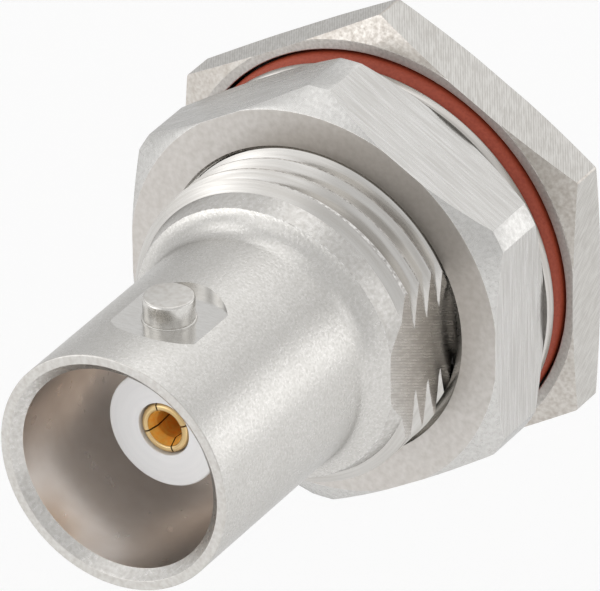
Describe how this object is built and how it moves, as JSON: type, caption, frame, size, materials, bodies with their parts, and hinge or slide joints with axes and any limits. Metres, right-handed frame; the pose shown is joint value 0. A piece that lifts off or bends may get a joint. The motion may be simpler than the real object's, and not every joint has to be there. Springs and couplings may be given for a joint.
{
  "type": "bnc connector",
  "caption": "Panel-mount coaxial jack with a bayonet mouth, a keyed threaded shank, a hexagonal nut and washer, and a hexagonal flange with a seal ring.",
  "frame": {"origin": "on the jack's axis, at the front face of the hexagonal flange that seals against the panel", "axes": "-Y out of the mouth along the jack's axis, +Z through the upper bayonet stud, +X square to the milled flat of the thread"},
  "size_m": [0.017, 0.0255, 0.0196],
  "materials": {
    "nickel": "satin nickel plate over turned brass",
    "seal_rubber": "brick red moulded silicone, satin",
    "white_plastic": "white fluoropolymer, smooth",
    "gold_plate": "polished gold plate"
  },
  "bodies": {
    "jack": {"shell": "nickel", "bayonet_stud_top": "nickel", "bayonet_stud_bottom": "nickel", "seal_ring": "seal_rubber", "front_insulator": "white_plastic", "rear_insulator": "white_plastic", "centre_contact": "gold_plate", "retaining_ring": "nickel"},
    "washer": {"panel_washer": "nickel"},
    "nut": {"panel_nut": "nickel"}
  },
  "joints": [
    {"name": "washer_slide", "type": "slide", "parent": "jack", "child": "washer", "axis": [0, -1, 0], "range_m": [0, 0.0046]},
    {"name": "nut_turn", "type": "hinge", "parent": "washer", "child": "nut", "pos_m": [0, -0.003, 0], "axis": [0, -1, 0], "range_deg": [0, 1800]}
  ],
  "couplings": [
    {"joint": "washer_slide", "follows": "nut_turn", "m_per_rad": 0.00014438}
  ]
}
